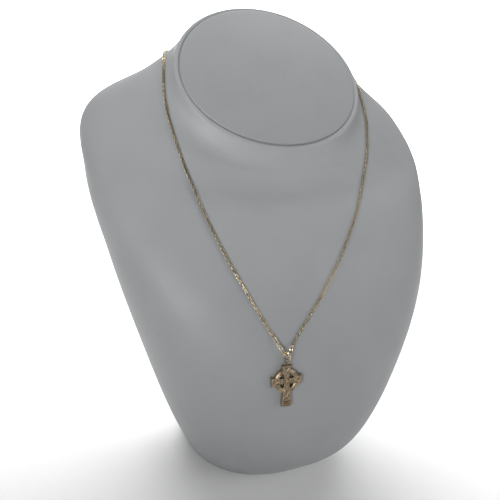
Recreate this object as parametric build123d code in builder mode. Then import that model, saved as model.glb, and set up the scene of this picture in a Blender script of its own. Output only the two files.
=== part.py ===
from build123d import *
from math import cos, pi, radians, sin, tan
from typing import NamedTuple
import os

# A celtic cross pendant on a fine gold chain, hung on the neck bust that displays it.
# Millimetres. +Z is up, the bust faces -Y, and the origin is the middle of its flat base.

# Neck bust
bust_height = 236.0
bust_width = 190.0
bust_depth = 128.0
base_bevel = 2.5
loft_steps = 20
outline_points = 24
lip_width = 2.1
lip_bevel = 0.8
lip_rounding = 0.8

# Padded cap in the mouth of the neck
cap_thickness = 4.0
cap_dome = 3.0
cap_edge_rounding = 1.0
cap_gap = 0.35

# Chain, as thick as its links are wide, and how high it stands over the bust at its route's points
chain_width = 1.5
chain_clearance = 0.6
neck_axis_y = 13.0
corner_share = 0.45

# Clasp behind the neck
clasp_length = 7.0
clasp_diameter = 2.4
clasp_rounding = 0.8
clasp_eye_radius = 0.75
clasp_eye_wire = 0.5
clasp_joint_gap = 0.15
clasp_clearance = 0.45
clasp_bearing = 180.0
clasp_height = 0.905

# Celtic cross, lying on the chest
cross_bearing = -11.7
cross_height = 0.318
cross_turn = 2.0
cross_clearance = 0.45
cross_thickness = 2.0
arm_reach = 7.25
top_reach = 7.4
shaft_reach = 12.4
waist_width = 2.5
arm_end_width = 4.5
arm_bow = 0.2
shaft_end_width = 4.6
shaft_bow = -0.1
ring_outer_radius = 5.8
ring_inner_radius = 3.8

# Relief on its front
border_width = 0.42
relief_depth = 0.3
groove_width = 0.4
strand_width = 0.34
strand_gap = 0.12
strand_points = 14
arm_lobes = 2
shaft_lobes = 3
knot_margin = 0.1
hub_radius = 1.25
star_reach = 1.4
star_waist = 0.4
boss_radius = 0.5
boss_rise = 0.25
foot_height = 2.3
foot_bar = 0.5

# Loop soldered on the cross, and the jump ring through it
loop_radius = 1.3
loop_wire = 0.5
loop_rise = 1.7
loop_stem_width = 1.3
loop_stem_thickness = 1.0
jump_ring_height = 5.1
jump_ring_width = 4.2
jump_ring_wire = 0.7
jump_ring_turn = 42.0
jump_ring_lean = 12.0
hang_gap = 0.42


class Section(NamedTuple):
    """One closed section of the bust. Along is its share of the way up, from 0 to 1. Lengths are
    shares: height of bust_height, half_width of half of bust_width, the others of bust_depth. The
    lean is in degrees, and the roundings are exponents, 2 for an ellipse and more for a squarer form."""

    along: float
    height: float
    set_back: float
    lean: float
    half_width: float
    front: float
    back: float
    front_round: float
    back_round: float


BUST_SECTIONS = [
    Section(0.000, 0.000, -0.048, 0.0, 0.443, 0.316, 0.225, 2.3, 3.0),
    Section(0.140, 0.125, -0.089, 4.0, 0.583, 0.452, 0.292, 2.2, 3.0),
    Section(0.330, 0.309, -0.046, 4.5, 0.751, 0.510, 0.288, 2.7, 3.0),
    Section(0.530, 0.498, 0.005, 9.5, 0.901, 0.476, 0.290, 2.7, 3.0),
    Section(0.680, 0.643, 0.111, 18.5, 0.987, 0.423, 0.263, 2.6, 3.0),
    Section(0.820, 0.753, 0.195, 32.0, 0.942, 0.428, 0.263, 2.4, 2.9),
    Section(0.895, 0.797, 0.154, 40.0, 0.733, 0.374, 0.275, 2.3, 2.4),
    Section(0.970, 0.833, 0.125, 47.0, 0.554, 0.360, 0.352, 2.1, 2.1),
    Section(1.000, 0.851, 0.102, 48.5, 0.534, 0.328, 0.359, 2.0, 2.0),
]
mouth = BUST_SECTIONS[-1]


class Rest(NamedTuple):
    """A point where the chain rests on the bust: its bearing in degrees round the neck's axis, 0 at
    the front and positive to +X, and its height as a share of bust_height."""

    bearing: float
    height: float


# The chain's route, from the clasp down the left to the jump ring, and up the right to the clasp.
CHAIN_LEFT = [
    Rest(-163.5, 0.905),
    Rest(-151.0, 0.902),
    Rest(-140.0, 0.898),
    Rest(-131.0, 0.894),
    Rest(-124.0, 0.890),
    Rest(-119.0, 0.888),
    Rest(-114.5, 0.885),
    Rest(-110.0, 0.879),
    Rest(-105.0, 0.868),
    Rest(-99.0, 0.846),
    Rest(-92.0, 0.813),
    Rest(-85.0, 0.779),
    Rest(-78.0, 0.745),
    Rest(-71.0, 0.711),
    Rest(-64.0, 0.671),
    Rest(-57.0, 0.636),
    Rest(-49.0, 0.603),
    Rest(-42.0, 0.570),
    Rest(-36.0, 0.538),
    Rest(-30.5, 0.505),
    Rest(-25.5, 0.473),
    Rest(-21.0, 0.439),
    Rest(-16.3, 0.401),
]
CHAIN_RIGHT = [
    Rest(-9.6, 0.387),
    Rest(-6.7, 0.409),
    Rest(-2.5, 0.436),
    Rest(2.0, 0.461),
    Rest(8.0, 0.490),
    Rest(15.0, 0.518),
    Rest(23.5, 0.549),
    Rest(33.0, 0.581),
    Rest(44.5, 0.612),
    Rest(54.5, 0.641),
    Rest(61.5, 0.672),
    Rest(68.5, 0.706),
    Rest(75.5, 0.737),
    Rest(82.0, 0.765),
    Rest(88.5, 0.796),
    Rest(94.5, 0.821),
    Rest(99.0, 0.838),
    Rest(103.0, 0.850),
    Rest(107.5, 0.862),
    Rest(112.0, 0.871),
    Rest(117.0, 0.878),
    Rest(122.5, 0.884),
    Rest(130.0, 0.890),
    Rest(139.0, 0.896),
    Rest(151.5, 0.902),
    Rest(163.5, 0.905),
]

# Where it runs through the jump ring: across, up and outward from the middle of the cross's back.
CHAIN_HANG = [
    (-3.3, 16.8, 1.3),
    (-2.1, 14.5, 2.3),
    (-1.0, 12.3, 2.35),
    (1.05, 12.5, 1.05),
    (2.2, 13.9, 1.2),
    (2.75, 15.7, 1.05),
]


def section_between(along):
    """The section at a place along the bust, by a smooth cubic curve through the table's rows."""
    rows = BUST_SECTIONS
    last = len(rows) - 1
    here = max(i for i in range(last) if rows[i].along <= along or i == 0)
    step = rows[here + 1].along - rows[here].along
    t = (along - rows[here].along) / step

    def slope(i, column):
        below, above = max(i - 1, 0), min(i + 1, last)
        before = rows[i].along - rows[below].along
        after = rows[above].along - rows[i].along
        if before == 0 or after == 0:
            return (rows[above][column] - rows[below][column]) / (before + after)
        falling = (rows[i][column] - rows[below][column]) / before
        rising = (rows[above][column] - rows[i][column]) / after
        return (falling * after + rising * before) / (before + after)

    values = []
    for column in range(len(rows[0])):
        start, end = rows[here][column], rows[here + 1][column]
        start_slope = slope(here, column) * step
        end_slope = slope(here + 1, column) * step
        value = (2 * t**3 - 3 * t**2 + 1) * start + (3 * t**2 - 2 * t**3) * end
        value += (t**3 - 2 * t**2 + t) * start_slope + (t**3 - t**2) * end_slope
        values.append(value)
    return Section(*values)


def section_plane(section, rise=0.0):
    """The plane of a section, its y axis towards the back, lifted by rise along its normal."""
    lean = radians(section.lean)
    normal = Vector(0, -sin(lean), cos(lean))
    middle = Vector(0, section.set_back * bust_depth, section.height * bust_height)
    return Plane(origin=middle + normal * rise, x_dir=(1, 0, 0), z_dir=normal)


def section_points(section, inset=0.0):
    """Points of the section's closed outline, from the middle of the back round to it again."""
    half_width = section.half_width * bust_width / 2 - inset
    points = []
    for step in range(outline_points):
        angle = pi / 2 + 2 * pi * step / outline_points
        behind = sin(angle) > 0
        depth = (section.back if behind else section.front) * bust_depth - inset
        power = 2 / (section.back_round if behind else section.front_round)
        across = half_width * abs(cos(angle)) ** power
        along = depth * abs(sin(angle)) ** power
        points.append((across if cos(angle) > 0 else -across, along if behind else -along))
    return points


# The bust: its sections lofted into one smooth body, with a recess for the cap and a rounded lip.
with BuildPart() as bust_form:
    for step in range(loft_steps + 1):
        section = section_between(step / loft_steps)
        with BuildSketch(section_plane(section)):
            with BuildLine():
                Spline(*section_points(section), periodic=True)
            make_face()
    loft()

with BuildPart() as neck_bust:
    add(bust_form.part)
    with BuildSketch(section_plane(mouth)):
        with BuildLine():
            Spline(*section_points(mouth, lip_width), periodic=True)
        make_face()
    extrude(amount=-(cap_thickness + cap_gap), mode=Mode.SUBTRACT)
    lip_face = neck_bust.faces().filter_by(lambda face: len(face.inner_wires()) == 1)[0]
    fillet(lip_face.inner_wires()[0].edges(), lip_rounding)
    lip_face = neck_bust.faces().filter_by(lambda face: len(face.inner_wires()) == 1)[0]
    chamfer(lip_face.outer_wire().edges(), lip_bevel)
    chamfer(neck_bust.faces().sort_by(Axis.Z)[0].edges(), base_bevel)

# The padded cap: the mouth's outline less the lip, with a low domed top and a rounded edge.
cap_half_width = mouth.half_width * bust_width / 2 - lip_width - cap_gap
dome_radius = (cap_half_width**2 + cap_dome**2) / (2 * cap_dome)
dome_plane = section_plane(mouth, cap_dome - dome_radius)
dome_middle = dome_plane.from_local_coords((0, (mouth.back - mouth.front) * bust_depth / 2, 0))
with BuildPart() as neck_cap:
    with BuildSketch(section_plane(mouth, -cap_thickness)):
        with BuildLine():
            Spline(*section_points(mouth, lip_width + cap_gap), periodic=True)
        make_face()
    extrude(amount=cap_thickness + cap_dome)
    with Locations(dome_middle):
        Sphere(dome_radius, mode=Mode.INTERSECT)
    fillet(neck_cap.faces().filter_by(GeomType.SPHERE)[0].edges(), cap_edge_rounding)


def rest_on_bust(bearing, height, lift):
    """A point lifted off the bust's skin at a bearing round the neck's axis, and the outward normal."""
    turn = radians(bearing)
    heading = Vector(sin(turn), -cos(turn), 0)
    start = Vector(0, neck_axis_y, height * bust_height)
    hits = bust_form.part.find_intersection_points(Axis(start, heading))
    skin, normal = max(hits, key=lambda hit: (hit[0] - start).dot(heading))
    return skin + normal * lift, normal


# The cross's plane: its origin is the middle of the cross's back, x to the right and z outward.
cross_middle, chest_normal = rest_on_bust(cross_bearing, cross_height, cross_clearance)
cross_right = Vector(0, 0, 1).cross(chest_normal).normalized()
cross_rise = chest_normal.cross(cross_right)
cross_x = cross_right * cos(radians(cross_turn)) + cross_rise * sin(radians(cross_turn))
cross_plane = Plane(origin=cross_middle, x_dir=cross_x, z_dir=chest_normal)
shaft_turn = 270
arms = [
    (0, arm_reach, arm_end_width, arm_bow),
    (90, top_reach, arm_end_width, arm_bow),
    (180, arm_reach, arm_end_width, arm_bow),
    (shaft_turn, shaft_reach, shaft_end_width, shaft_bow),
]


def arm_face(turn, reach, end_width, bow, inset=0.0):
    """The flared outline of one arm, from its root at the waist to its end, or a panel inset in it."""
    with BuildSketch(mode=Mode.PRIVATE) as face:
        with BuildLine():
            root = (waist_width / 2 + inset, waist_width / 2 - inset)
            end = (reach - inset, end_width / 2 - inset)
            upper = SagittaArc(root, end, bow)
            lower = SagittaArc((root[0], -root[1]), (end[0], -end[1]), -bow)
            Line(upper @ 0, lower @ 0)
            Line(upper @ 1, lower @ 1)
        make_face()
    return face.sketch.rotate(Axis.Z, turn)


def knot_strands(start, end, start_half, end_half, lobes):
    """The strands of a two-strand plait, each as points between two places where it dips under."""
    dips = []
    for crossing in range(2, 2 * lobes - 1, 2):
        place_in_turn = crossing if crossing < lobes else crossing + 1
        dips.append(pi * place_in_turn / lobes)

    def place(angle):
        share = (1 - cos(angle)) / 2
        half = start_half + (end_half - start_half) * share
        return Vector(start + (end - start) * share, half * sin(lobes * angle))

    def clear_of(dip, way):
        """The first angle past a dip where the strand is clear of the one over it."""
        angle = dip
        while (place(angle) - place(dip)).length < strand_width + strand_gap:
            angle += way * pi / 360
        return angle

    strands = []
    for dip, following in zip(dips, dips[1:] + [dips[0] + 2 * pi]):
        first, last = clear_of(dip, 1), clear_of(following, -1)
        steps = [first + (last - first) * step / strand_points for step in range(strand_points + 1)]
        strands.append([place(angle) for angle in steps])
    return strands


def knot_faces(turn, reach, end_width, lobes):
    """The raised strands of the plait that fills an arm's panel."""
    inset = border_width + knot_margin + strand_width / 2
    start, end = waist_width / 2 + inset, reach - inset
    strands = []
    for points in knot_strands(start, end, waist_width / 2 - inset, end_width / 2 - inset, lobes):
        left, right = [], []
        for before, here, after in zip(points[:1] + points, points, points[1:] + points[-1:]):
            along = (after - before).normalized()
            aside = Vector(-along.Y, along.X) * strand_width / 2
            left.append(here + aside)
            right.append(here - aside)
        with BuildSketch(mode=Mode.PRIVATE) as strand:
            Polygon(*left, *reversed(right), align=None)
        strands.append(strand.sketch.rotate(Axis.Z, turn))
    return strands


# The cross: four flared arms and a nimbus ring, pierced between them, with cast relief in front.
foot_top = shaft_reach - foot_height
foot_top_width = waist_width + (shaft_end_width - waist_width) * foot_top / shaft_reach
loop_plane = cross_plane.offset(cross_thickness / 2)
loop_middle = loop_plane.from_local_coords((0, top_reach + loop_rise, 0))
with BuildPart() as celtic_cross:
    with BuildSketch(cross_plane):
        Circle(ring_outer_radius)
        Circle(ring_inner_radius, mode=Mode.SUBTRACT)
        Rectangle(waist_width, waist_width)
        for turn, reach, end_width, bow in arms:
            add(arm_face(turn, reach, end_width, bow))
    extrude(amount=cross_thickness)
    with BuildSketch(cross_plane.offset(cross_thickness)):
        Circle((ring_outer_radius + ring_inner_radius + groove_width) / 2)
        Circle((ring_outer_radius + ring_inner_radius - groove_width) / 2, mode=Mode.SUBTRACT)
        for turn, reach, end_width, bow in arms:
            add(arm_face(turn, reach, end_width, bow), mode=Mode.SUBTRACT)
        for turn, reach, end_width, bow in arms:
            add(arm_face(turn, reach, end_width, bow, border_width))
        with Locations((0, border_width / 2 - foot_top)):
            Rectangle(shaft_end_width, border_width, mode=Mode.SUBTRACT)
        with Locations((0, foot_height / 2 - shaft_reach)):
            Rectangle(shaft_end_width / 2, foot_bar, mode=Mode.SUBTRACT)
        for turn, reach, end_width, bow in arms[:3]:
            for strand in knot_faces(turn, reach, end_width, arm_lobes):
                add(strand, mode=Mode.SUBTRACT)
        for strand in knot_faces(shaft_turn, foot_top, foot_top_width, shaft_lobes):
            add(strand, mode=Mode.SUBTRACT)
        Circle(hub_radius)
        star = [(star_reach, 0), (star_waist, star_waist), (0, star_reach), (-star_waist, star_waist)]
        Polygon(*star, *((-x, -y) for x, y in star), align=None, mode=Mode.SUBTRACT)
    extrude(amount=-relief_depth, mode=Mode.SUBTRACT)
    with BuildSketch(cross_plane.offset(cross_thickness - relief_depth)):
        Circle(boss_radius)
    extrude(amount=relief_depth + boss_rise, taper=10)
    with BuildSketch(loop_plane):
        with Locations((0, top_reach)):
            Rectangle(loop_stem_width, loop_rise - loop_radius, align=(Align.CENTER, Align.MIN))
    extrude(amount=loop_stem_thickness / 2, both=True)
    with Locations(Plane(origin=loop_middle, x_dir=cross_plane.x_dir, z_dir=cross_plane.z_dir)):
        Torus(loop_radius, loop_wire / 2)

# The jump ring: an oval of round wire that hangs in the loop, leant outward and turned.
lean, turn = radians(jump_ring_lean), radians(jump_ring_turn)
ring_up = cross_plane.y_dir * cos(lean) + cross_plane.z_dir * sin(lean)
ring_out = cross_plane.z_dir * cos(lean) - cross_plane.y_dir * sin(lean)
ring_axis = ring_out * sin(turn) - cross_plane.x_dir * cos(turn)
ring_half_width = (jump_ring_width - jump_ring_wire) / 2
ring_straight = jump_ring_height - jump_ring_width
hang_rise = loop_radius - loop_wire / 2 - jump_ring_wire / 2 - hang_gap
ring_foot = loop_middle + cross_plane.y_dir * hang_rise
ring_plane = Plane(origin=ring_foot, x_dir=ring_up.cross(ring_axis), z_dir=ring_axis)
with BuildPart() as jump_ring:
    with BuildLine(ring_plane) as jump_ring_line:
        low, high = ring_half_width, ring_half_width + ring_straight
        right_side = Line((ring_half_width, low), (ring_half_width, high))
        ThreePointArc(right_side @ 1, (0, high + ring_half_width), (-ring_half_width, high))
        Line((-ring_half_width, high), (-ring_half_width, low))
        ThreePointArc((-ring_half_width, low), (0, 0), right_side @ 0)
    with BuildSketch(Plane(origin=right_side @ 0, z_dir=right_side % 0)):
        Circle(jump_ring_wire / 2)
    sweep(path=jump_ring_line.wire())

# The clasp: a plain barrel across the back of the neck, with an eye at each end.
clasp_lift = clasp_clearance + clasp_diameter / 2
clasp_middle, neck_normal = rest_on_bust(clasp_bearing, clasp_height, clasp_lift)
clasp_along = neck_normal.cross(Vector(0, 0, 1)).normalized()
eye_reach = clasp_length / 2 + clasp_eye_radius
with BuildPart() as clasp:
    with BuildSketch(Plane(origin=clasp_middle - clasp_along * clasp_length / 2, z_dir=clasp_along)):
        Circle(clasp_diameter / 2)
    extrude(amount=clasp_length)
    fillet(clasp.edges().filter_by(GeomType.CIRCLE), clasp_rounding)
    for way in (-1, 1):
        eye_middle = clasp_middle + clasp_along * way * eye_reach
        with Locations(Plane(origin=eye_middle, x_dir=clasp_along, z_dir=neck_normal)):
            Torus(clasp_eye_radius, clasp_eye_wire / 2)

# The chain: one loop of tube, from the clasp's left eye through the jump ring to its right eye.
chain_lift = chain_width / 2 + chain_clearance
chain_end_reach = eye_reach + clasp_eye_radius + clasp_eye_wire / 2 + clasp_joint_gap
chain_points = [clasp_middle - clasp_along * chain_end_reach]
chain_points += [rest_on_bust(rest.bearing, rest.height, chain_lift)[0] for rest in CHAIN_LEFT]
chain_points += [cross_plane.from_local_coords(point) for point in CHAIN_HANG]
chain_points += [rest_on_bust(rest.bearing, rest.height, chain_lift)[0] for rest in CHAIN_RIGHT]
chain_points.append(clasp_middle + clasp_along * chain_end_reach)
chain_radii = []
for before, here, after in zip(chain_points, chain_points[1:], chain_points[2:]):
    half_turn = radians((here - before).get_angle(after - here)) / 2
    shorter_run = min((here - before).length, (after - here).length)
    chain_radii.append(corner_share * shorter_run / tan(half_turn))
with BuildPart() as chain:
    with BuildLine() as chain_line:
        FilletPolyline(*chain_points, radius=chain_radii)
    chain_wire = chain_line.wire()
    with BuildSketch(Plane(origin=chain_wire @ 0, z_dir=chain_wire % 0)):
        Circle(chain_width / 2)
    sweep()

print("chain radii:", ", ".join(f"{radius:.1f}" for radius in chain_radii))
tube_volume = pi * chain_width**2 / 4 * chain_wire.length
print(f"chain length {chain_wire.length:.1f}, volume {chain.part.volume:.2f} for {tube_volume:.2f}")

neck_bust.part.label = "neck_bust"
neck_cap.part.label = "neck_cap"
chain.part.label = "chain"
clasp.part.label = "clasp"
jump_ring.part.label = "jump_ring"
celtic_cross.part.label = "celtic_cross"

os.makedirs("parts", exist_ok=True)
export_step(neck_bust.part, "parts/neck_bust.step")
export_step(neck_cap.part, "parts/neck_cap.step")
export_step(chain.part, "parts/chain.step")
export_step(clasp.part, "parts/clasp.step")
export_step(jump_ring.part, "parts/jump_ring.step")
export_step(celtic_cross.part, "parts/celtic_cross.step")
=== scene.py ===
"""A celtic cross pendant on a fine gold cable chain, hung on the leatherette neck bust that shows it."""

from math import cos, pi, radians, sin, sqrt

import bmesh
import bpy
from bpy.props import FloatProperty, FloatVectorProperty, IntProperty, PointerProperty
from mathutils import Matrix, Vector
from mathutils.bvhtree import BVHTree


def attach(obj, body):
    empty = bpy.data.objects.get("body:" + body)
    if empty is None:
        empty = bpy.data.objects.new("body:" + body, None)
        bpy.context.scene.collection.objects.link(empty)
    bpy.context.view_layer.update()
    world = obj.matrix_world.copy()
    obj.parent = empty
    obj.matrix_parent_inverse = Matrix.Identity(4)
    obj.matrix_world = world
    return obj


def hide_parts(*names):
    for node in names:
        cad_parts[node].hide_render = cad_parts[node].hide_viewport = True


bl_info = {
    "name": "Celtic Cross on a Neck Bust",
    "version": (1, 0, 0),
    "blender": (4, 5, 0),
    "location": "View3D > Sidebar > Pendant",
    "description": "Builds a celtic cross pendant, its chain and its neck bust over the packed model",
    "category": "Add Mesh",
}

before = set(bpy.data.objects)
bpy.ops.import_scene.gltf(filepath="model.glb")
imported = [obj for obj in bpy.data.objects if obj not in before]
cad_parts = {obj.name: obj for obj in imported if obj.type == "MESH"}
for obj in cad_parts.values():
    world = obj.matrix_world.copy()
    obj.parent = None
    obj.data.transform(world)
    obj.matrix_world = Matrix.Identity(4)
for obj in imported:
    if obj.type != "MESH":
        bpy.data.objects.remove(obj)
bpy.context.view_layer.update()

MM = 0.001

# How far the rings of the flat base and of the cap's recess are inset from the outline, in metres.
BASE_INSETS = (0.045, 0.03, 0.015, 0.006)
RECESS_INSETS = (0.006, 0.015, 0.03)
# Places along the sections: where the rows of the skin begin, and the last run that the lip's rounding is in.
SKIN_START = 0.014
NECK_RUN = 0.03
# How far the lip turns over into the recess, and how deep its inner edge lies as a share of its rounding.
LIP_OVERTURN = radians(56)
LIP_EDGE_DEPTH = 0.46
# How far from the lip the recess's wall stands, as a share of the cap's gap.
WALL_SHARE = 0.75
# The cap's underside: the straight part of its side as a share of its depth, and its undercut in metres.
CAP_SIDE, CAP_UNDERCUT = 0.7, 0.0008
# How far out the casts onto the bust start, and how near a point has to be to count as sunk in, in metres.
CAST_START, SUNK_NEAR = 0.4, 0.003
# Points round a link's oval and round its wire, and the phase from one link's stray to the next.
LINK_STEPS, WIRE_SIDES, STRAY_PHASE = 20, 8, 2.4
# The clasp's height behind the neck, as a share of the bust's.
CLASP_HEIGHT = 0.905
# Half of the clasp's profile: place along its half length, and share of its radius.
CLASP_PROFILE = [
    (0.2, 1.0), (0.22, 0.9), (0.28, 0.9), (0.3, 1.0), (0.8, 1.0), (0.88, 0.96), (0.95, 0.82), (0.99, 0.6),
    (1.0, 0.35),
]
# Details of the casting, in millimetres: how far the sides of the short arms bow inward and those of the
# shaft outward, the loop's stem, the star and boss of the hub, the cushion in the foot block, the ring's
# middle strand, and the plait's heave.
ARM_BOW, SHAFT_BOW = 0.2, -0.1
STEM_FOOT, STEM_HEAD, STEM_HALF_DEPTH, STEM_SUNK = 0.65, 0.6, 0.5, 0.1
STAR_REACH, STAR_WAIST, STAR_SUNK, STAR_BELOW_TOP = 1.55, 0.42, 0.1, 0.06
BOSS_RADIUS, BOSS_RISE, BOSS_BELOW_TOP = 0.55, 0.42, 0.12
FOOT_CUSHION, FOOT_CUSHION_SUNK = 0.5, 0.12
RING_STRAND, RING_STRAND_SUNK, RING_SETBACK = 0.42, 0.18, radians(18)
PLAIT_OVERLAP, PLAIT_SUNK, PLAIT_HEAVE, PLAIT_SHORT = 0.08, 0.04, 0.09, 0.3
# Shares of an arm: where it begins under the hub, the points across its end, and the thicker foot bar.
ARM_ROOT, END_PLACES, BAR_SWELL = 0.9, (0.6, 0.2, -0.2, -0.6), 1.15
# The stage, in metres: how far the floor lies below the base, where it bends up, the radius of the bend and
# the backdrop's top.
FLOOR_DROP, BEND_START, BEND, BACKDROP_TOP = 0.0002, 1.6, 0.5, 3.0
# The lights: name, place, the place that it faces, width and spread.
LIGHTS = {
    "key": ("upper_left_light", (-0.5, -0.58, 0.36), (0, 0, 0.28), 0.3, radians(54)),
    "fill": ("right_fill", (0.7, -0.65, 0.5), (0, 0, 0.17), 0.5, radians(80)),
    "backdrop": ("backdrop_light", (0.5, 1.1, 1.5), (0.7, 1.7, 0), 1.8, radians(140)),
}

# The bust's sections from its base up, one row each: along, then height as a share of the bust's
# height, set_back, lean in degrees, half_width as a share of half the width, front and back as
# shares of the depth, and the roundings of front and back.
BUST_SECTIONS = [
    (0.000, 0.000, -0.048, 0.0, 0.443, 0.316, 0.225, 2.3, 3.0),
    (0.140, 0.125, -0.089, 4.0, 0.583, 0.452, 0.292, 2.2, 3.0),
    (0.330, 0.309, -0.046, 4.5, 0.751, 0.510, 0.288, 2.7, 3.0),
    (0.530, 0.498, 0.005, 9.5, 0.901, 0.476, 0.290, 2.7, 3.0),
    (0.680, 0.643, 0.111, 18.5, 0.987, 0.423, 0.263, 2.6, 3.0),
    (0.820, 0.753, 0.195, 32.0, 0.942, 0.428, 0.263, 2.4, 2.9),
    (0.895, 0.797, 0.154, 40.0, 0.733, 0.374, 0.275, 2.3, 2.4),
    (0.970, 0.833, 0.125, 47.0, 0.554, 0.360, 0.352, 2.1, 2.1),
    (1.000, 0.851, 0.102, 48.5, 0.534, 0.328, 0.359, 2.0, 2.0),
]

# The chain's route: bearing in degrees round the neck's axis, and height as a share of the bust's.
CHAIN_LEFT = [
    (-163.5, 0.905), (-151.0, 0.902), (-140.0, 0.898), (-131.0, 0.894), (-124.0, 0.890), (-119.0, 0.888),
    (-114.5, 0.885), (-110.0, 0.879), (-105.0, 0.868), (-99.0, 0.846), (-92.0, 0.813), (-85.0, 0.779),
    (-78.0, 0.745), (-71.0, 0.711), (-64.0, 0.671), (-57.0, 0.636), (-49.0, 0.603), (-42.0, 0.570),
    (-36.0, 0.538), (-30.5, 0.505), (-25.5, 0.473), (-21.0, 0.439), (-16.3, 0.401),
]
CHAIN_RIGHT = [
    (-9.6, 0.387), (-6.7, 0.409), (-2.5, 0.436), (2.0, 0.461), (8.0, 0.490), (15.0, 0.518),
    (23.5, 0.549), (33.0, 0.581), (44.5, 0.612), (54.5, 0.641), (61.5, 0.672), (68.5, 0.706),
    (75.5, 0.737), (82.0, 0.765), (88.5, 0.796), (94.5, 0.821), (99.0, 0.838), (103.0, 0.850),
    (107.5, 0.862), (112.0, 0.871), (117.0, 0.878), (122.5, 0.884), (130.0, 0.890), (139.0, 0.896),
    (151.5, 0.902), (163.5, 0.905),
]

# Where it runs through the jump ring, in millimetres across, up and out from the cross's back.
CHAIN_HANG = [
    (-3.3, 16.8, 1.3),
    (-2.1, 14.5, 2.3),
    (-1.0, 12.3, 2.35),
    (1.05, 12.5, 1.05),
    (2.2, 13.9, 1.2),
    (2.75, 15.7, 1.05),
]


def length(name, default, description):
    """A length that the sidebar shows in the scene's unit."""
    return FloatProperty(
        name=name, description=description, default=default, unit="LENGTH", subtype="DISTANCE", precision=5
    )


def degrees(name, default, description):
    """An angle, given in degrees."""
    return FloatProperty(name=name, description=description, default=radians(default), subtype="ANGLE")


def watts(name, default, description):
    """A lamp's power."""
    return FloatProperty(name=name, description=description, default=default, unit="POWER")


def colour(name, default, description):
    """A colour that the sidebar shows as a swatch."""
    return FloatVectorProperty(
        name=name, description=description, default=default, subtype="COLOR", size=3, min=0.0, max=1.0
    )


class BustSettings(bpy.types.PropertyGroup):
    """Sizes and colour of the neck bust and its padded cap."""

    height: length("Height", 0.236, "Height that the section shares are counted in")
    width: length("Width", 0.190, "Width across the shoulders")
    depth: length("Depth", 0.128, "Depth that the section shares are counted in")
    base_rounding: length("Base rounding", 0.0025, "Rounding of the edge round the flat base")
    lip_width: length("Lip width", 0.0021, "Width of the rolled lip round the mouth")
    lip_bead: length("Lip bead", 0.00012, "Rise of the lip's bead over the neck")
    cap_gap: length("Cap gap", 0.0002, "Gap between the lip and the padded cap")
    cap_thickness: length("Cap thickness", 0.004, "Depth of the cap below the mouth's plane")
    cap_dome: length("Cap dome", 0.003, "Rise of the cap's middle over the mouth's plane")
    cap_rounding: length("Cap rounding", 0.0008, "Rounding of the cap's edge")
    neck_axis: length("Neck axis", 0.013, "How far back the neck's upright axis is")
    columns: IntProperty(name="Columns", description="Points round each section", default=192, min=48)
    rows: IntProperty(name="Rows", description="Rings from the base to the lip", default=132, min=24)
    leatherette: colour("Leatherette", (0.254, 0.262, 0.268), "Pale grey of the covering")
    shade: colour("Shade", (0.227, 0.235, 0.241), "The covering's darker clouds and grain")


class ChainSettings(bpy.types.PropertyGroup):
    """Sizes and colour of the cable chain, its clasp and its jump ring."""

    link_length: length("Link length", 0.00224, "Outer length of a link")
    link_width: length("Link width", 0.0015, "Outer width of a link")
    wire: length("Link wire", 0.00043, "Diameter of a link's wire")
    pitch: length("Pitch", 0.00132, "Distance from one link's middle to the next")
    seat: length("Seat", 0.00074, "Height of the chain's middle over the leatherette")
    facing_tilt: degrees("Facing tilt", 18, "Tilt of the links that face outward")
    edge_tilt: degrees("Edge tilt", -70, "Tilt of the links that stand on edge")
    wobble: degrees("Wobble", 9, "How far single links stray from their tilt")
    clasp_lift: length("Clasp lift", 0.00045, "Gap between the clasp and the leatherette")
    clasp_length: length("Clasp length", 0.007, "Length of the clasp's barrel")
    clasp_diameter: length("Clasp diameter", 0.0024, "Diameter of the clasp's barrel")
    eye_radius: length("Eye radius", 0.00075, "Radius to the middle of the clasp's eyes")
    eye_wire: length("Eye wire", 0.0005, "Diameter of the eyes' wire")
    ring_height: length("Jump ring height", 0.0051, "Outer height of the jump ring")
    ring_width: length("Jump ring width", 0.0042, "Outer width of the jump ring")
    ring_wire: length("Jump ring wire", 0.0007, "Diameter of the jump ring's wire")
    ring_turn: degrees("Jump ring turn", 42, "Turn about its upright")
    ring_lean: degrees("Jump ring lean", 12, "Lean away from the chest")
    gold: colour("Gold", (0.70, 0.59, 0.39), "The chain's warm gold")


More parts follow.
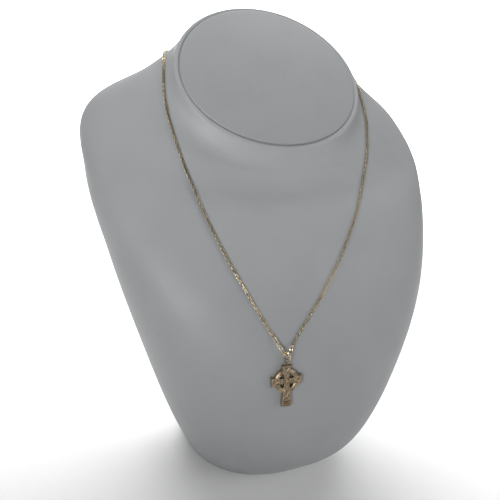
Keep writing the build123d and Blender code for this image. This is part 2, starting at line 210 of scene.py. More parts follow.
class CrossSettings(bpy.types.PropertyGroup):
    """Place, sizes and colours of the celtic cross."""

    middle: FloatVectorProperty(
        name="Middle", description="Middle of the cross's back", default=(-0.0171362, -0.070045, 0.0751107),
        subtype="TRANSLATION", unit="LENGTH", precision=5,
    )
    facing: FloatVectorProperty(
        name="Facing", description="Outward direction of its front", default=(-0.0678, -0.9879, 0.1393),
        subtype="DIRECTION",
    )
    turn: degrees("Turn", 2, "Turn in its own plane")
    thickness: length("Thickness", 0.0020, "Thickness of the cross without its boss")
    arm_reach: length("Arm reach", 0.00725, "Reach of each side arm")
    top_reach: length("Top reach", 0.0074, "Reach of the upper arm")
    shaft_reach: length("Shaft reach", 0.0124, "Reach of the shaft")
    waist: length("Waist", 0.0025, "Width of the arms where they meet")
    arm_end: length("Arm end", 0.0045, "Width of the arms at their ends")
    shaft_end: length("Shaft end", 0.0046, "Width of the shaft at its foot")
    ring_outer: length("Ring outer radius", 0.0058, "Outer radius of the nimbus ring")
    ring_inner: length("Ring inner radius", 0.0038, "Inner radius of the nimbus ring")
    border: length("Border", 0.00042, "Width of the raised borders")
    relief: length("Relief", 0.00032, "Depth of the panels below the borders")
    strand: length("Strand", 0.00056, "Thickness of the knot's strands")
    foot: length("Foot", 0.0023, "Height of the foot block")
    loop_radius: length("Loop radius", 0.0013, "Radius to the middle of the loop's wire")
    loop_wire: length("Loop wire", 0.0005, "Diameter of the loop's wire")
    loop_rise: length("Loop rise", 0.0017, "Rise of the loop's middle over the upper arm")
    hang_gap: length("Hang gap", 0.00042, "Play of the jump ring in the loop")
    grain: length("Casting grain", 0.00008, "Size of the casting's cells")
    gold: colour("Gold", (0.41, 0.32, 0.215), "The cross's warm gold")
    patina: colour("Patina", (0.185, 0.145, 0.095), "Darkened recesses of the casting")


class StageSettings(bpy.types.PropertyGroup):
    """The floor, the lights and the camera."""

    floor_size: length("Floor size", 8.0, "Side of the pale floor")
    floor_colour: colour("Floor", (0.93, 0.93, 0.93), "Pale grey white of the floor")
    camera_place: FloatVectorProperty(
        name="Camera", description="Place of the camera", default=(-0.1232, -0.2711, 0.2152),
        subtype="TRANSLATION", unit="LENGTH",
    )
    azimuth: degrees("Azimuth", -22.67, "Camera's bearing")
    elevation: degrees("Elevation", 19.38, "Camera's height angle")
    roll: degrees("Roll", 4.44, "Turn of the picture")
    lens: FloatProperty(name="Lens", description="Focal length in mm on a 36 mm frame", default=41.45, min=1)
    sky: FloatProperty(name="Sky", description="Strength of the surrounding light", default=0.13, min=0.0)
    key: watts("Key", 0.78, "Power of the upper left light")
    fill: watts("Fill", 0.66, "Power of the light at the right")
    backdrop: watts("Backdrop", 80.0, "Power of the light on the backdrop")


class Value:
    """A shader socket whose sums and products add Math nodes."""

    def __init__(self, finish, socket):
        self.finish = finish
        self.socket = socket

    def math(self, operation, first, second):
        return self.finish.node("ShaderNodeMath", {"operation": operation}, {0: first, 1: second})

    def __add__(self, other):
        return self.math("ADD", self, other)

    def __radd__(self, other):
        return self.math("ADD", other, self)

    def __sub__(self, other):
        return self.math("SUBTRACT", self, other)

    def __rsub__(self, other):
        return self.math("SUBTRACT", other, self)

    def __mul__(self, other):
        return self.math("MULTIPLY", self, other)

    def step(self, low, high):
        """0 below low, 1 above high, and smooth between."""
        settings = {"interpolation_type": "SMOOTHSTEP", "clamp": True}
        inputs = {"Value": self, "From Min": low, "From Max": high}
        return self.finish.node("ShaderNodeMapRange", settings, inputs)


class Finish:
    """One material, and the nodes that make it."""

    def __init__(self, name):
        self.material = bpy.data.materials.new(name)
        self.material.use_nodes = True
        self.tree = self.material.node_tree
        self.tree.nodes.clear()
        self.place = self.node("ShaderNodeTexCoord", output="Object")

    def node(self, kind, settings=None, inputs=None, output=0):
        """A node of any type: its settings first, then the values or links of its sockets."""
        node = self.tree.nodes.new(kind)
        for name, value in (settings or {}).items():
            setattr(node, name, value)
        for name, value in (inputs or {}).items():
            if isinstance(value, Value):
                self.tree.links.new(value.socket, node.inputs[name])
            else:
                node.inputs[name].default_value = value
        return Value(self, node.outputs[output]) if len(node.outputs) else None

    def noise(self, scale, detail, roughness):
        inputs = {"Vector": self.place, "Scale": scale, "Detail": detail, "Roughness": roughness}
        return self.node("ShaderNodeTexNoise", None, inputs)

    def cells(self, scale):
        inputs = {"Vector": self.place, "Scale": scale}
        return self.node("ShaderNodeTexVoronoi", {"feature": "SMOOTH_F1"}, inputs)

    def blend(self, share, first, second):
        """A colour between two others."""
        inputs = {0: share, 6: (*first, 1.0) if isinstance(first, tuple) else first,
                  7: (*second, 1.0) if isinstance(second, tuple) else second}
        return self.node("ShaderNodeMix", {"data_type": "RGBA"}, inputs, output=2)

    def bump(self, height, distance, strength, normal=None):
        inputs = {"Height": height, "Distance": distance, "Strength": strength}
        if normal is not None:
            inputs["Normal"] = normal
        return self.node("ShaderNodeBump", None, inputs)

    def surface(self, inputs):
        """The finished surface, from the sockets of one Principled shader."""
        shader = self.node("ShaderNodeBsdfPrincipled", None, inputs)
        self.node("ShaderNodeOutputMaterial", None, {"Surface": shader})
        return self.material


def leatherette(name, bust, depth=1.0):
    """Smooth matt leatherette, its colours times depth: a fine pressed grain over slow soft clouds."""
    finish = Finish(name)
    clouds = finish.noise(38.0, 4.0, 0.55)
    grain = finish.cells(1900.0)
    pores = finish.noise(5200.0, 2.0, 0.6)
    shade = (clouds.step(0.35, 0.7) * 0.35 + grain.step(0.15, 0.75) * 0.25).step(0.0, 1.0)
    slack = finish.noise(22.0, 2.0, 0.4)
    soft = finish.bump(slack, 0.0009, 0.35)
    pressed = finish.bump(grain * 0.7 + pores * 0.3, 0.00005, 0.55, soft)
    pale, dark = (tuple(c * depth for c in tone) for tone in (bust.leatherette, bust.shade))
    return finish.surface({
        "Base Color": finish.blend(shade, pale, dark),
        "Roughness": 0.46 + clouds * 0.12 + grain * 0.05,
        "Specular IOR Level": 0.38,
        "Sheen Weight": 0.06,
        "Sheen Roughness": 0.5,
        "Normal": pressed,
    })


def polished_gold(name, gold, tarnish_and_shade=0.55, edge_shade_share=0.0):
    """Drawn gold wire: bright to tarnished at random, with faint scratches, and painted shade that darkens
    the links standing edge on.
    """
    finish = Finish(name)
    tone = finish.noise(420.0, 3.0, 0.6).step(0.4, 0.66)
    edge_on = finish.node("ShaderNodeAttribute", {"attribute_name": "edge_on"}, output="Fac")
    rub = finish.noise(2600.0, 3.0, 0.7)
    tarnished_and_shaded = tuple(c * tarnish_and_shade for c in gold)
    return finish.surface({
        # The darker gold is random tarnish and, on the links that stand edge on, painted shade.
        "Base Color": finish.blend(tone * (1 - edge_shade_share) + edge_on * edge_shade_share, tuple(gold), tarnished_and_shaded),
        "Metallic": 1.0,
        "Roughness": 0.09 + rub.step(0.3, 0.8) * 0.10,
        "Normal": finish.bump(rub, 0.00001, 0.5),
    })


def cast_gold(name, cross, axes, origin):
    """Cast gold, worn bright on its raised parts and dark in its recesses."""
    finish = Finish(name)
    inputs = {0: finish.place, 1: tuple(axes[2])}
    height = finish.node("ShaderNodeVectorMath", {"operation": "DOT_PRODUCT"}, inputs, output="Value")
    height = height - origin.dot(axes[2])
    floor = cross.thickness - cross.relief
    raised = height.step(floor - 0.00002, floor + 0.00024)
    grit = finish.noise(5200.0, 3.0, 0.65)
    tone = finish.noise(520.0, 3.0, 0.6)
    facing = height.step(floor - 0.0004, floor - 0.00006)
    dark = (1.0 - raised) * (0.62 + grit * 0.3) * (0.05 + facing * 0.80)
    worn = finish.blend(tone.step(0.38, 0.7), tuple(cross.gold), tuple(c * 0.74 for c in cross.gold))
    return finish.surface({
        "Base Color": finish.blend(dark.step(0.0, 0.95), worn, tuple(cross.patina)),
        "Metallic": 1.0,
        "Roughness": 0.24 + grit * 0.14 + dark * 0.22,
        "Normal": finish.bump(grit * 0.6 + tone * 0.4, 0.00003, 0.6),
    })


def add_object(name, data):
    """A new object in the scene."""
    thing = bpy.data.objects.new(name, data)
    bpy.context.scene.collection.objects.link(thing)
    return thing


def new_mesh(name, points, faces):
    """A mesh that isn't in the scene yet."""
    mesh = bpy.data.meshes.new(name)
    mesh.from_pydata([tuple(p) for p in points], [], faces)
    return mesh


def dress(mesh, material):
    """The mesh with smooth shading and one material."""
    mesh.polygons.foreach_set("use_smooth", [True] * len(mesh.polygons))
    mesh.materials.clear()
    mesh.materials.append(material)
    return mesh


def add_piece(mesh, material):
    """A piece in metres that rides on the one body."""
    mesh.validate()
    piece = add_object(mesh.name, dress(mesh, material))
    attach(piece, "root")
    return piece


def joined(solids):
    """Several solids' points and faces as one."""
    points, faces = [], []
    for solid_points, solid_faces in solids:
        faces += [tuple(i + len(points) for i in face) for face in solid_faces]
        points += solid_points
    return points, faces


def turns(count):
    """A number of even angles round a full turn."""
    return [2 * pi * step / count for step in range(count)]


def quarter(count):
    """Even angles from 0 to a quarter turn."""
    return [pi / 2 * step / count for step in range(count + 1)]


def solid_of_rings(rings, closed=False):
    """Points and faces of a solid of rings, which ends in itself or in a flat face at each end."""
    columns = len(rings[0])
    points = [point for ring in rings for point in ring]
    faces = []
    for ring in range(len(rings) if closed else len(rings) - 1):
        low, high = ring * columns, (ring + 1) % len(rings) * columns
        for column in range(columns):
            beside = (column + 1) % columns
            faces.append((low + column, low + beside, high + beside, high + column))
    if not closed:
        faces.append(tuple(reversed(range(columns))))
        faces.append(tuple(range(len(points) - columns, len(points))))
    return points, faces


def tube(path, radius, sides, frames, closed=False):
    """Points and faces of a round wire along a path, each point with its two cross directions."""
    rings = []
    for centre, (first, second) in zip(path, frames):
        rings.append([centre + first * (radius * cos(a)) + second * (radius * sin(a)) for a in turns(sides)])
    return solid_of_rings(rings, closed)


def section_between(along):
    """The bust's section at a place along it, by a smooth cubic curve through the table's rows."""
    rows = BUST_SECTIONS
    last = len(rows) - 1
    here = max(i for i in range(last) if rows[i][0] <= along or i == 0)
    step = rows[here + 1][0] - rows[here][0]
    t = (along - rows[here][0]) / step

    def slope(i, column):
        below, above = max(i - 1, 0), min(i + 1, last)
        before, after = rows[i][0] - rows[below][0], rows[above][0] - rows[i][0]
        if before == 0 or after == 0:
            return (rows[above][column] - rows[below][column]) / (before + after)
        falling = (rows[i][column] - rows[below][column]) / before
        rising = (rows[above][column] - rows[i][column]) / after
        return (falling * after + rising * before) / (before + after)

    values = []
    for column in range(len(rows[0])):
        value = (2 * t**3 - 3 * t**2 + 1) * rows[here][column]
        value += (3 * t**2 - 2 * t**3) * rows[here + 1][column]
        value += (t**3 - 2 * t**2 + t) * slope(here, column) * step
        value += (t**3 - t**2) * slope(here + 1, column) * step
        values.append(value)
    return values


def section_axes(bust, section):
    """The middle of a section, the direction towards its back, and its upward normal."""
    lean = radians(section[3])
    middle = Vector((0, section[2] * bust.depth, section[1] * bust.height))
    return middle, Vector((0, cos(lean), sin(lean))), Vector((0, -sin(lean), cos(lean)))


def section_ring(bust, section, inset=0.0, rise=0.0):
    """One ring of points round a section, inset from its outline and lifted along its normal."""
    middle, back_way, normal = section_axes(bust, section)
    half_width = section[4] * bust.width / 2 - inset
    points = []
    for angle in turns(bust.columns):
        behind = sin(angle) > 0
        depth = (section[6] if behind else section[5]) * bust.depth - inset
        power = 2 / (section[8] if behind else section[7])
        across = half_width * abs(cos(angle)) ** power * (1 if cos(angle) > 0 else -1)
        along = depth * abs(sin(angle)) ** power * (1 if behind else -1)
        points.append(middle + Vector((across, 0, 0)) + back_way * along + normal * rise)
    return points


def bust_rings(bust):
    """The rings of the bust's skin, from the middle of its base over the lip into the recess."""
    rings = []
    base, mouth = section_between(0.0), section_between(1.0)
    for inset in BASE_INSETS:
        rings.append(section_ring(bust, base, inset))
    round_base = bust.base_rounding
    for angle in quarter(4)[:-1]:
        rings.append(section_ring(bust, base, round_base * (1 - sin(angle)), round_base * (1 - cos(angle))))
    bend = bust.lip_width / 2
    mouth_middle, _, mouth_normal = section_axes(bust, mouth)
    neck_middle = section_axes(bust, section_between(1 - NECK_RUN))[0]
    bend_run = NECK_RUN * bend / (mouth_middle - neck_middle).dot(mouth_normal)
    skin_run = 1 - bend_run - SKIN_START
    for row in range(bust.rows + 1):
        rings.append(section_ring(bust, section_between(SKIN_START + skin_run * row / bust.rows)))
    for angle in quarter(10)[1:]:
        section = section_between(1 - bend_run * (1 - sin(angle)))
        rings.append(section_ring(bust, section, bend * (1 - cos(angle)) - bust.lip_bead * sin(2 * angle)))
    for step in range(1, 9):
        angle = pi / 2 + LIP_OVERTURN * step / 8
        rings.append(section_ring(bust, mouth, bend * (1 - cos(angle)), bend * (sin(angle) - 1)))
    floor = bust.cap_thickness + bust.cap_gap
    seam = bust.lip_width + bust.cap_gap * WALL_SHARE
    rings.append(section_ring(bust, mouth, seam, -bend * LIP_EDGE_DEPTH))
    rings.append(section_ring(bust, mouth, seam, -floor))
    for inset in RECESS_INSETS:
        rings.append(section_ring(bust, mouth, inset, -floor))
    return rings


def cross_axes(cross):
    """The cross's right, up and outward directions."""
    outward = Vector(cross.facing).normalized()
    right = Vector((0, 0, 1)).cross(outward).normalized()
    up = outward.cross(right)
    spin = cross.turn
    return right * cos(spin) + up * sin(spin), up * cos(spin) - right * sin(spin), outward


def from_cross(cross, across, up, out):
    """A point given across, up and outward from the middle of the cross's back."""
    axes = cross_axes(cross)
    return Vector(cross.middle) + axes[0] * across + axes[1] * up + axes[2] * out


def oval(half_width, straight, steps):
    """The middle line of an oval wire round its own middle, with its outward directions."""
    line = []
    for step in range(steps):
        angle = 2 * pi * (step + 0.5) / steps
        outward = Vector((cos(angle), sin(angle)))
        shift = straight / 2 if outward.y > 0 else -straight / 2
        line.append((Vector((half_width * outward.x, half_width * outward.y + shift)), outward))
    return line


def jump_ring_axes(chain, cross):
    """The jump ring's foot, its sideways and upward directions and the axis through it."""
    right, up, outward = cross_axes(cross)
    lean, turn = chain.ring_lean, chain.ring_turn
    ring_up = up * cos(lean) + outward * sin(lean)
    ring_out = outward * cos(lean) - up * sin(lean)
    axis = ring_out * sin(turn) - right * cos(turn)
    hole = cross.loop_radius - cross.loop_wire / 2
    rise = hole - chain.ring_wire / 2 - cross.hang_gap
    foot = from_cross(cross, 0, cross.top_reach + cross.loop_rise + rise, cross.thickness / 2)
    return foot, ring_up.cross(axis), ring_up, axis


def skin_tree():
    """The bust's skin, for casts onto it."""
    skin = bpy.data.objects["leatherette_bust"].data
    return BVHTree.FromPolygons([v.co for v in skin.vertices], [tuple(p.vertices) for p in skin.polygons])


def skin_cast(bust, tree, bearing, height, lift):
    """A point lifted off the leatherette at a bearing round the neck's axis."""
    turn = radians(bearing)
    heading = Vector((sin(turn), -cos(turn), 0))
    start = Vector((0, bust.neck_axis, height * bust.height))
    spot, normal, _, _ = tree.ray_cast(start + heading * CAST_START, -heading)
    if spot is None:
        raise RuntimeError(f"the chain's route misses the bust at {bearing}, {height}")
    if normal.dot(heading) < 0:
        normal = -normal
    return spot + normal * lift, normal


def smooth_line(name, points):
    """Points along the NURBS curve that a route's points control."""
    curve = bpy.data.curves.new(name, "CURVE")
    curve.dimensions = "3D"
    curve.resolution_u = 24
    spline = curve.splines.new("NURBS")
    spline.points.add(len(points) - 1)
    for control, point in zip(spline.points, points):
        control.co = (*point, 1.0)
    spline.order_u = 3
    spline.use_endpoint_u = True
    holder = bpy.data.objects.new(name, curve)
    mesh = bpy.data.meshes.new_from_object(holder)
    line = [vertex.co.copy() for vertex in mesh.vertices]
    bpy.data.objects.remove(holder)
    bpy.data.meshes.remove(mesh)
    bpy.data.curves.remove(curve)
    return line


def evenly(line, step):
    """Points at even steps along a line, the last one at its end, and the step that was used."""
    lengths = [0.0]
    for before, after in zip(line, line[1:]):
        lengths.append(lengths[-1] + (after - before).length)
    count = max(1, round(lengths[-1] / step))
    points, here = [], 0
    for index in range(count + 1):
        goal = lengths[-1] * index / count
        while here < len(line) - 2 and lengths[here + 1] < goal:
            here += 1
        span = lengths[here + 1] - lengths[here]
        points.append(line[here].lerp(line[here + 1], (goal - lengths[here]) / span if span else 0.0))
    return points, lengths[-1] / count


class PENDANT_OT_neck_bust(bpy.types.Operator):
    """Build the bust's leatherette body, with its rolled lip and the recess for the cap"""

    bl_idname = "pendant.neck_bust"
    bl_label = "Neck Bust"

    def execute(self, context):
        bust = context.scene.pendant_bust
        skin = new_mesh("leatherette_bust", *solid_of_rings(bust_rings(bust)))
        piece = add_piece(skin, leatherette("pale leatherette", bust))
        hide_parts("neck_bust")
        return {"FINISHED"}


class PENDANT_OT_neck_cap(bpy.types.Operator):
    """Build the padded cap that closes the mouth of the neck"""

    bl_idname = "pendant.neck_cap"
    bl_label = "Neck Cap"

    def execute(self, context):
        bust = context.scene.pendant_bust
        mouth = section_between(1.0)
        middle, back_way, normal = section_axes(bust, mouth)
        middle = middle + back_way * (mouth[6] - mouth[5]) * bust.depth / 2
        edge = bust.lip_width + bust.cap_gap
        reach = mouth[4] * bust.width / 2 - edge
        radius = (reach**2 + bust.cap_dome**2) / (2 * bust.cap_dome)

        def domed(ring, drop=0.0):
            rises = [sqrt(radius**2 - (p - middle).length_squared) - radius + bust.cap_dome for p in ring]
            return [p + normal * (rise - drop) for p, rise in zip(ring, rises)]

        rings = []
        rim = section_ring(bust, mouth, edge + bust.cap_rounding)
        for step in range(1, 25):
            rings.append(domed([middle.lerp(p, step / 24) for p in rim]))
        for angle in quarter(8)[1:]:
            ring = section_ring(bust, mouth, edge + bust.cap_rounding * (1 - sin(angle)))
            rings.append(domed(ring, bust.cap_rounding * (1 - cos(angle))))
        rings.append(section_ring(bust, mouth, edge, -bust.cap_thickness * CAP_SIDE))
        rings.append(section_ring(bust, mouth, edge + CAP_UNDERCUT, -bust.cap_thickness))
        points, faces = solid_of_rings(rings)
        cap = new_mesh("padded_cap", points, [tuple(reversed(face)) for face in faces])
        # The cap's leatherette is darker than the bust's: partly its own darker tone, partly painted shade on
        # its upturned, more brightly lit top.
        piece = add_piece(cap, leatherette("cap leatherette", bust, depth=0.89))
        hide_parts("neck_cap")
        return {"FINISHED"}


class PENDANT_OT_chain(bpy.types.Operator):
    """Thread the cable chain's interlocked links from the clasp through the jump ring and back"""

    bl_idname = "pendant.chain"
    bl_label = "Chain"

    def execute(self, context):
        bust, chain, cross = (getattr(context.scene, f"pendant_{n}") for n in ("bust", "chain", "cross"))
        tree = skin_tree()
        clasp_at, along, _ = clasp_place(bust, chain, tree)
        end_reach = chain.clasp_length / 2 + 2 * chain.eye_radius - chain.eye_wire / 2
        route = [clasp_at - along * end_reach]
        route += [skin_cast(bust, tree, bearing, height, chain.seat)[0] for bearing, height in CHAIN_LEFT]
        route += [from_cross(cross, *(value * MM for value in place)) for place in CHAIN_HANG]
        route += [skin_cast(bust, tree, bearing, height, chain.seat)[0] for bearing, height in CHAIN_RIGHT]
        route.append(clasp_at + along * end_reach)
        line, _ = evenly(smooth_line("chain_route", route), chain.pitch / 3)
        line = self.seated(line, tree, chain.seat)
        middles, pitch = evenly(line, chain.pitch)
        links = []
        half_width = (chain.link_width - chain.wire) / 2
        straight = chain.link_length - chain.link_width + pitch - chain.pitch
        shape = oval(half_width, straight, LINK_STEPS)
        for index, middle in enumerate(middles[:-1]):
            following = middles[index + 1]
            centre = (middle + following) / 2
            forward = (following - middle).normalized()
            _, outward, _, _ = tree.find_nearest(centre)
            if outward.dot(Vector((centre.x, centre.y - bust.neck_axis, 0))) < 0:
                outward = -outward
            outward = (outward - forward * outward.dot(forward)).normalized()
            aside = forward.cross(outward)
            tilt = chain.facing_tilt if index % 2 else chain.edge_tilt
            tilt += chain.wobble * sin(index * STRAY_PHASE)
            flat = aside * cos(tilt) + outward * sin(tilt)
            face = forward.cross(flat)
            path = [centre + flat * place.x + forward * place.y for place, _ in shape]
            frames = [(flat * way.x + forward * way.y, face) for _, way in shape]
            links.append(tube(path, chain.wire / 2, WIRE_SIDES, frames, closed=True))
        mesh = new_mesh("cable_chain", *joined(links))
        # The links that stand edge on get painted shade: their gold is mixed towards the darker tone.
        piece = add_piece(mesh, polished_gold("chain gold", chain.gold, tarnish_and_shade=0.35, edge_shade_share=0.55))
        edge_on = mesh.attributes.new("edge_on", "FLOAT", "POINT")
        per_link = LINK_STEPS * WIRE_SIDES
        edge_on.data.foreach_set("value", [1.0 - i // per_link % 2 for i in range(len(mesh.vertices))])
        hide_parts("chain")
        return {"FINISHED"}

    def seated(self, line, tree, seat):
        """The line with no point sunk below its seat on the leatherette."""
        for _ in range(3):
            lifted = []
            for point in line:
                spot, normal, _, _ = tree.find_nearest(point)
                if (point - spot).dot(normal) < 0 and (point - spot).length >= SUNK_NEAR:
                    normal = -normal
                stand = (point - spot).dot(normal)
                lifted.append(point + normal * (seat - stand) if stand < seat else point)
            line = [lifted[0]]
            line += [(a + b * 2 + c) / 4 for a, b, c in zip(lifted, lifted[1:], lifted[2:])]
            line.append(lifted[-1])
        return line


def clasp_place(bust, chain, tree):
    """The clasp's middle behind the neck, the direction along it and the neck's normal there."""
    lift = chain.clasp_lift + chain.clasp_diameter / 2
    middle, normal = skin_cast(bust, tree, 180.0, CLASP_HEIGHT, lift)
    return middle, normal.cross(Vector((0, 0, 1))).normalized(), normal


class PENDANT_OT_clasp(bpy.types.Operator):
    """Build the plain barrel clasp behind the neck, with an eye at each end"""

    bl_idname = "pendant.clasp"
    bl_label = "Clasp"

    def execute(self, context):
        bust, chain = context.scene.pendant_bust, context.scene.pendant_chain
        tree = skin_tree()
        middle, along, normal = clasp_place(bust, chain, tree)
        third = along.cross(normal)
        half, radius = chain.clasp_length / 2, chain.clasp_diameter / 2
        spokes = [normal * cos(a) + third * sin(a) for a in turns(40)]
        rings = []
        for place, share in [(-place, share) for place, share in reversed(CLASP_PROFILE)] + CLASP_PROFILE:
            rings.append([middle + along * half * place + spoke * radius * share for spoke in spokes])
        solids = [solid_of_rings(rings)]
        spokes = [along * cos(a) + third * sin(a) for a in turns(36)]
        frames = [(spoke, normal) for spoke in spokes]
        for way in (-1, 1):
            centre = middle + along * way * (half + chain.eye_radius)
            path = [centre + spoke * chain.eye_radius for spoke in spokes]
            solids.append(tube(path, chain.eye_wire / 2, 12, frames, closed=True))
        clasp = new_mesh("barrel_clasp", *joined(solids))
        piece = add_piece(clasp, polished_gold("clasp gold", chain.gold))
        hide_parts("clasp")
        return {"FINISHED"}


class PENDANT_OT_jump_ring(bpy.types.Operator):
    """Build the oval jump ring that joins the chain and the cross"""

    bl_idname = "pendant.jump_ring"
    bl_label = "Jump Ring"

    def execute(self, context):
        chain, cross = context.scene.pendant_chain, context.scene.pendant_cross
        foot, sideways, up, axis = jump_ring_axes(chain, cross)
        half_width = (chain.ring_width - chain.ring_wire) / 2
        straight = chain.ring_height - chain.ring_width
        middle = foot + up * (half_width + straight / 2)
        shape = oval(half_width, straight, 72)
        path = [middle + sideways * place.x + up * place.y for place, _ in shape]
        frames = [(sideways * way.x + up * way.y, axis) for _, way in shape]
        ring = new_mesh("oval_jump_ring", *tube(path, chain.ring_wire / 2, 20, frames, closed=True))
        piece = add_piece(ring, polished_gold("ring gold", chain.gold))
        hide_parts("jump_ring")
        return {"FINISHED"}


def plate(outline, low, high):
    """A flat solid of an outline in the cross's plane, in millimetres."""
    count = len(outline)
    points = [Vector((x, y, low)) for x, y in outline] + [Vector((x, y, high)) for x, y in outline]
    faces = [tuple(reversed(range(count))), tuple(range(count, 2 * count))]
    faces += [(i, (i + 1) % count, (i + 1) % count + count, i + count) for i in range(count)]
    return points, faces


def ridge(line, radius, closed=False, sides=10):
    """A round ridge along a line of points in the cross's plane, in millimetres."""
    frames = []
    count = len(line)
    for index in range(count):
        before = line[index - 1] if closed or index else line[0]
        after = line[(index + 1) % count] if closed or index < count - 1 else line[-1]
        forward = (after - before).normalized()
        aside = Vector((-forward.y, forward.x, 0)).normalized()
        frames.append((aside, forward.cross(aside)))
    return tube(line, radius, sides, frames, closed)


class InMillimetres:
    """The lengths of a group of settings, in millimetres."""

    def __init__(self, group):
        self.group = group

    def __getattr__(self, name):
        return getattr(self.group, name) / MM


class PENDANT_OT_celtic_cross(bpy.types.Operator):
    """Cast the celtic cross: flared arms, pierced ring, borders, knot relief, boss, foot and loop"""

    bl_idname = "pendant.celtic_cross"
    bl_label = "Celtic Cross"

    def execute(self, context):
        cross = context.scene.pendant_cross
        size = InMillimetres(cross)
        size.floor = size.thickness - size.relief
        size.edge = size.border / 2
        size.crown = size.thickness - size.edge
        arms = [
            (0, size.arm_reach, size.arm_end, 2),
            (90, size.top_reach, size.arm_end, 2),
            (180, size.arm_reach, size.arm_end, 2),
            (270, size.shaft_reach, size.shaft_end, 3),
        ]
        waist = size.waist / 2
        solids = [plate([(waist, waist), (-waist, waist), (-waist, -waist), (waist, -waist)], 0, size.floor)]
        for bearing, reach, end, lobes in arms:
            turn = Matrix.Rotation(radians(bearing), 4, "Z")
            for points, faces in self.arm(size, reach, end, lobes):
                solids.append(([turn @ point for point in points], faces))
        solids += self.nimbus(size) + self.hub(size) + self.loop(size)
        mesh = self.cast(solids, size.grain)
        axes, origin = cross_axes(cross), Vector(cross.middle)
        turn = Matrix(axes).transposed().to_4x4()
        mesh.transform(Matrix.Translation(origin) @ turn @ Matrix.Scale(MM, 4))
        piece = add_piece(mesh, cast_gold("cast gold", cross, axes, origin))
        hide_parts("celtic_cross")
        return {"FINISHED"}

    def arm(self, size, reach, end, lobes):
        """An arm that points right, with its border and its plait. The one with three lobes has a foot."""
        edge, crown, floor, waist = size.edge, size.crown, size.floor, size.waist / 2

        def half_width(place):
            share = (place - waist) / (reach - waist)
            bow = (SHAFT_BOW if lobes == 3 else ARM_BOW) * 4 * share * (1 - share)
            return (size.waist + (end - size.waist) * share) / 2 - bow

        places = [waist + (reach - waist) * step / 16 for step in range(17)]
        halves = [half_width(place) for place in places]
        sides = list(zip(places, halves))
        root = waist * ARM_ROOT
        outline = [(root, -waist), *((p, -h) for p, h in sides), *sides[::-1], (root, waist)]
        solids = [plate(outline, 0, floor)]
        inner = [Vector((p, h - edge, crown)) for p, h in sides]
        inner[-1].x -= edge
        mirrored = [Vector((p.x, -p.y, p.z)) for p in reversed(inner)]
        end_half = halves[-1] - edge
        end_line = [Vector((inner[-1].x, y * end_half, crown)) for y in END_PLACES]
        solids.append(ridge(inner + end_line + mirrored, edge))
        plait_end = reach
        if lobes == 3:
            plait_end -= size.foot
            bar = plait_end + edge
            half = half_width(bar) - edge
            line = [Vector((bar, y * half, crown)) for y in (-1, -0.5, 0, 0.5, 1)]
            solids.append(ridge(line, edge * BAR_SWELL))
            place, height = (bar + reach) / 2, floor - FOOT_CUSHION_SUNK
            line = [Vector((place, y * half, height)) for y in reversed(END_PLACES)]
            solids.append(ridge(line, FOOT_CUSHION, sides=16))
            plait_end -= PLAIT_SHORT
        solids.append(self.plait(size, half_width, plait_end, lobes))
        return solids

    def plait(self, size, half_width, end, lobes):
        """Two strands plaited over and under along an arm's panel, which are one closed line."""
        margin = size.border + size.strand / 2 - PLAIT_OVERLAP
        start, stop = size.waist / 2 + margin, end - margin
        line = []
        for angle in turns(40 * lobes):
            share = (1 - cos(angle)) / 2
            place = start + (stop - start) * share
            half = half_width(place) - margin
            weave = cos(lobes * angle) * (1 if angle < pi else -1)
            height = size.floor - PLAIT_SUNK + PLAIT_HEAVE * weave
            line.append(Vector((place, half * sin(lobes * angle), height)))
        return ridge(line, size.strand / 2, closed=True, sides=10)

    def loop(self, size):
        """The round loop over the upper arm and the stem that it is soldered on."""
        depth = size.thickness / 2
        middle = Vector((0, size.top_reach + size.loop_rise, depth))
        line = [middle + Vector((cos(a), sin(a), 0)) * size.loop_radius for a in turns(40)]
        low, high = size.top_reach - STEM_SUNK, size.top_reach + size.loop_rise - size.loop_radius
        stem = [(-STEM_FOOT, low), (STEM_FOOT, low), (STEM_HEAD, high), (-STEM_HEAD, high)]
        return [
            ridge(line, size.loop_wire / 2, closed=True, sides=12),
            plate(stem, depth - STEM_HALF_DEPTH, depth + STEM_HALF_DEPTH),
        ]

    def nimbus(self, size):
        """The ring's four quarters between the arms, each with two raised edges and a strand between."""
        solids = []
        inner, outer, edge, floor = size.ring_inner, size.ring_outer, size.edge, size.floor
        for part in range(4):
            first, last = part * pi / 2 + RING_SETBACK, (part + 1) * pi / 2 - RING_SETBACK
            angles = [first + (last - first) * step / 20 for step in range(21)]
            outline = [(outer * cos(a), outer * sin(a)) for a in angles]
            outline += [(inner * cos(a), inner * sin(a)) for a in reversed(angles)]
            solids.append(plate(outline, 0, floor))
            for radius in (inner + edge, outer - edge):
                line = [Vector((radius * cos(a), radius * sin(a), size.crown)) for a in angles]
                solids.append(ridge(line, edge))
            middle = (inner + outer) / 2
            line = [Vector((middle * cos(a), middle * sin(a), floor - RING_STRAND_SUNK)) for a in angles]
            solids.append(ridge(line, RING_STRAND, sides=16))
        return solids

    def hub(self, size):
        """The four pointed star in the middle, with its small round boss."""
        top, low = size.thickness, size.floor - STAR_SUNK
        star = []
        notch = STAR_WAIST * sqrt(2)
        for angle in turns(4):
            star.append((STAR_REACH * cos(angle), STAR_REACH * sin(angle)))
            star.append((notch * cos(angle + pi / 4), notch * sin(angle + pi / 4)))
        rings = []
        for angle in quarter(7)[:-1]:
            radius, height = BOSS_RADIUS * cos(angle), top - BOSS_BELOW_TOP + BOSS_RISE * sin(angle)
            rings.append([Vector((radius * cos(a), radius * sin(a), height)) for a in turns(24)])
        rings.insert(0, [Vector((p.x, p.y, low)) for p in rings[0]])
        return [plate(star, low, top - STAR_BELOW_TOP), solid_of_rings(rings)]

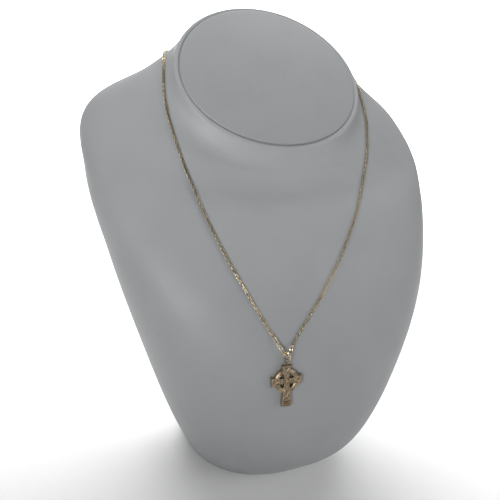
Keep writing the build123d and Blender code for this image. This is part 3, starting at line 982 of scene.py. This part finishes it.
    def cast(self, solids, grain):
        """All the solids as one mesh, with the soft edges that a mould leaves."""
        mesh = new_mesh("cross_pattern", *joined(solids))
        pattern = add_object("cross_pattern", mesh)
        repair = bmesh.new()
        repair.from_mesh(mesh)
        bmesh.ops.recalc_face_normals(repair, faces=repair.faces)
        repair.to_mesh(mesh)
        repair.free()
        remesh = pattern.modifiers.new("Casting", "REMESH")
        remesh.mode = "VOXEL"
        remesh.voxel_size = grain
        soften = pattern.modifiers.new("Soften", "SMOOTH")
        soften.factor = 0.5
        soften.iterations = 2
        graph = bpy.context.evaluated_depsgraph_get()
        casting = bpy.data.meshes.new_from_object(pattern.evaluated_get(graph))
        casting.name = "cast_celtic_cross"
        bpy.data.objects.remove(pattern)
        return casting


class PENDANT_OT_stage(bpy.types.Operator):
    """Set the pale floor, the soft studio light and the camera"""

    bl_idname = "pendant.stage"
    bl_label = "Stage"

    def execute(self, context):
        scene = context.scene
        stage = scene.pendant_stage
        half = stage.floor_size / 2
        profile = [(-half, -FLOOR_DROP), (0.0, -FLOOR_DROP)]
        for angle in quarter(12):
            profile.append((BEND_START + BEND * sin(angle), BEND * (1 - cos(angle)) - FLOOR_DROP))
        profile.append((BEND_START + BEND, BACKDROP_TOP))
        points = [(x, y, z) for y, z in profile for x in (-half, half)]
        faces = [(i, i + 1, i + 3, i + 2) for i in range(0, len(points) - 2, 2)]
        finish = Finish("pale floor")
        cloud = finish.noise(3.0, 2.0, 0.5)
        warm = tuple(c * 0.98 for c in stage.floor_colour)
        material = finish.surface({
            "Base Color": finish.blend(cloud, tuple(stage.floor_colour), warm),
            "Roughness": 0.9,
            "Specular IOR Level": 0.2,
        })
        floor = add_object("pale_floor", dress(new_mesh("pale_floor", points, faces), material))
        world = bpy.data.worlds.new("studio")
        world.use_nodes = True
        background = world.node_tree.nodes["Background"]
        background.inputs["Color"].default_value = (1.0, 1.0, 1.0, 1.0)
        background.inputs["Strength"].default_value = stage.sky
        scene.world = world
        scene.view_settings.view_transform = "Standard"
        for power, (name, place, aim, width, spread) in LIGHTS.items():
            lamp = bpy.data.lights.new(name, "AREA")
            lamp.energy = getattr(stage, power)
            lamp.size = width
            lamp.spread = spread
            light = add_object(name, lamp)
            light.location = place
            light.rotation_euler = (Vector(aim) - Vector(place)).to_track_quat("-Z", "Y").to_euler()
        self.camera(scene, stage)
        return {"FINISHED"}

    def camera(self, scene, stage):
        """The camera at the photograph's viewing angle."""
        azimuth, elevation, roll = stage.azimuth, stage.elevation, stage.roll
        back = Vector((sin(azimuth) * cos(elevation), -cos(azimuth) * cos(elevation), sin(elevation)))
        right = Vector((cos(azimuth), sin(azimuth), 0))
        up = back.cross(right)
        rolled_right = right * cos(roll) + up * sin(roll)
        rolled_up = up * cos(roll) - right * sin(roll)
        lens = bpy.data.cameras.new("photo_camera")
        lens.lens = stage.lens
        lens.sensor_width = 36.0
        lens.clip_start = 0.01
        camera = add_object("photo_camera", lens)
        turn = Matrix((rolled_right, rolled_up, back)).transposed().to_4x4()
        camera.matrix_world = Matrix.Translation(Vector(stage.camera_place)) @ turn
        scene.camera = camera


class PENDANT_PT_pieces(bpy.types.Panel):
    """The pieces of the pendant, its chain and its bust"""

    bl_idname = "PENDANT_PT_pieces"
    bl_label = "Celtic Cross Pendant"
    bl_space_type = "VIEW_3D"
    bl_region_type = "UI"
    bl_category = "Pendant"

    def draw(self, context):
        for operator in OPERATORS:
            self.layout.operator(operator.bl_idname)
        for group in SETTINGS:
            box = self.layout.box()
            values = getattr(context.scene, group)
            for name in values.__annotations__:
                box.prop(values, name)


OPERATORS = (
    PENDANT_OT_neck_bust,
    PENDANT_OT_neck_cap,
    PENDANT_OT_chain,
    PENDANT_OT_clasp,
    PENDANT_OT_jump_ring,
    PENDANT_OT_celtic_cross,
    PENDANT_OT_stage,
)
SETTINGS = {
    "pendant_bust": BustSettings,
    "pendant_chain": ChainSettings,
    "pendant_cross": CrossSettings,
    "pendant_stage": StageSettings,
}
CLASSES = (*SETTINGS.values(), *OPERATORS, PENDANT_PT_pieces)


def register():
    for cls in CLASSES:
        bpy.utils.register_class(cls)
    for name, group in SETTINGS.items():
        setattr(bpy.types.Scene, name, PointerProperty(type=group))


def unregister():
    for name in SETTINGS:
        delattr(bpy.types.Scene, name)
    for cls in reversed(CLASSES):
        bpy.utils.unregister_class(cls)


def main():
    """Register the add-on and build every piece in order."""
    register()
    bpy.ops.pendant.neck_bust()
    bpy.ops.pendant.neck_cap()
    bpy.ops.pendant.chain()
    bpy.ops.pendant.clasp()
    bpy.ops.pendant.jump_ring()
    bpy.ops.pendant.celtic_cross()
    bpy.ops.pendant.stage()


if __name__ == "__main__":
    main()
